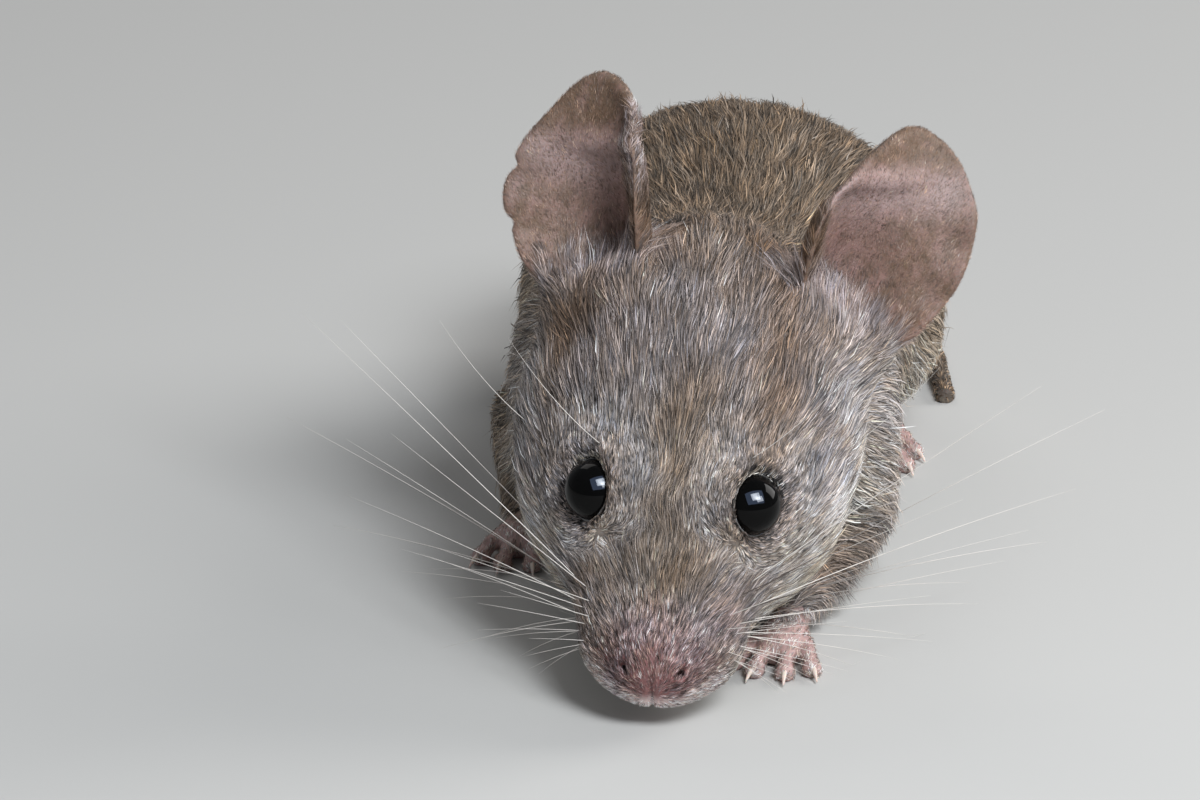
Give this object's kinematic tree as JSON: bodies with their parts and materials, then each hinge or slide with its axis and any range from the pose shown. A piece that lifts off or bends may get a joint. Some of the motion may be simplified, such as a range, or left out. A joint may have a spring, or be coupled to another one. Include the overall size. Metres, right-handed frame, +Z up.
{
  "type": "house mouse",
  "caption": "Life-size still model of a small adult house mouse, crouched with its nose near the floor, in named sub-parts.",
  "frame": {"origin": "middle of the model's bounding box in plan, at the floor that the soles and the tail rest on", "axes": "-Y the way the nose points, +X the mouse's own left, +Z up from the floor"},
  "size_m": [0.0294, 0.0824, 0.0317],
  "materials": {
    "fur": "short grey-brown fur, matt with a soft sheen",
    "bare_skin": "soft pink skin",
    "ear_skin": "thin pinkish grey skin with fine hair",
    "tail_skin": "ringed grey-brown skin",
    "eye": "wet black gloss"
  },
  "bodies": {
    "root": {"head": "fur", "neck": "fur", "chest": "fur", "abdomen": "fur", "foreleg_left": "fur", "foreleg_right": "fur", "thigh_left": "fur", "thigh_right": "fur", "nose": "bare_skin", "forepaw_left": "bare_skin", "forepaw_right": "bare_skin", "hindfoot_left": "bare_skin", "hindfoot_right": "bare_skin", "ear_left": "ear_skin", "ear_right": "ear_skin", "tail_1": "tail_skin", "tail_2": "tail_skin", "tail_3": "tail_skin", "tail_4": "tail_skin", "eye_left": "eye", "eye_right": "eye"}
  },
  "joints": []
}
